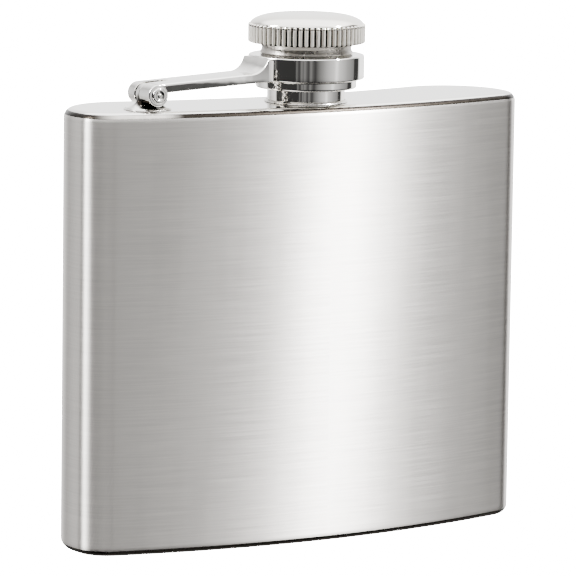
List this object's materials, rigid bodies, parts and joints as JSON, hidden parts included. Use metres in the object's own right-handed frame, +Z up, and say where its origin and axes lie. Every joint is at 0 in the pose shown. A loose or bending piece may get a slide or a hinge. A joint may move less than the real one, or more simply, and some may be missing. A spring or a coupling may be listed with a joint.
{
  "type": "hip flask",
  "caption": "Curved steel hip flask with a brushed body, polished ends, and a knurled screw cap held captive in the ring of a hinged arm.",
  "frame": {"origin": "under the middle of the whole flask's bounding box, on the surface that it stands on", "axes": "+X along the body's width, towards the end without the hinge; -Y towards the convex front; +Z up along the neck"},
  "size_m": [0.0956, 0.0275, 0.0995],
  "materials": {
    "brushed_steel": "stainless sheet, brushed across the width with fine grit, lacquer-free",
    "polished_steel": "stainless steel buffed to a mirror",
    "weld": "weld metal, dressed flush and buffed",
    "gasket": "white food silicone, moulded, matt"
  },
  "bodies": {
    "flask": {"body_shell": "brushed_steel", "side_seam_weld": "weld", "top_seam_weld": "weld", "bottom_seam_weld": "weld", "top_plate": "polished_steel", "bottom_plate": "polished_steel", "neck_tube": "polished_steel", "neck_weld": "weld", "hinge_bracket": "polished_steel", "bracket_weld": "weld", "hinge_pin": "polished_steel"},
    "arm": {"cap_arm": "polished_steel", "arm_ring": "polished_steel"},
    "cap": {"cap_shell": "polished_steel", "cap_sleeve": "polished_steel", "cap_retaining_ring": "polished_steel", "cap_gasket": "gasket"}
  },
  "joints": [
    {"name": "arm_hinge", "type": "hinge", "parent": "flask", "child": "arm", "pos_m": [-0.0342, -0.00337, 0.0855], "axis": [0, -1, 0], "range_deg": [0, 176]},
    {"name": "cap_spin", "type": "hinge", "parent": "arm", "child": "cap", "pos_m": [0, -0.00337, 0.0946], "axis": [0, 0, 1], "continuous": true}
  ]
}
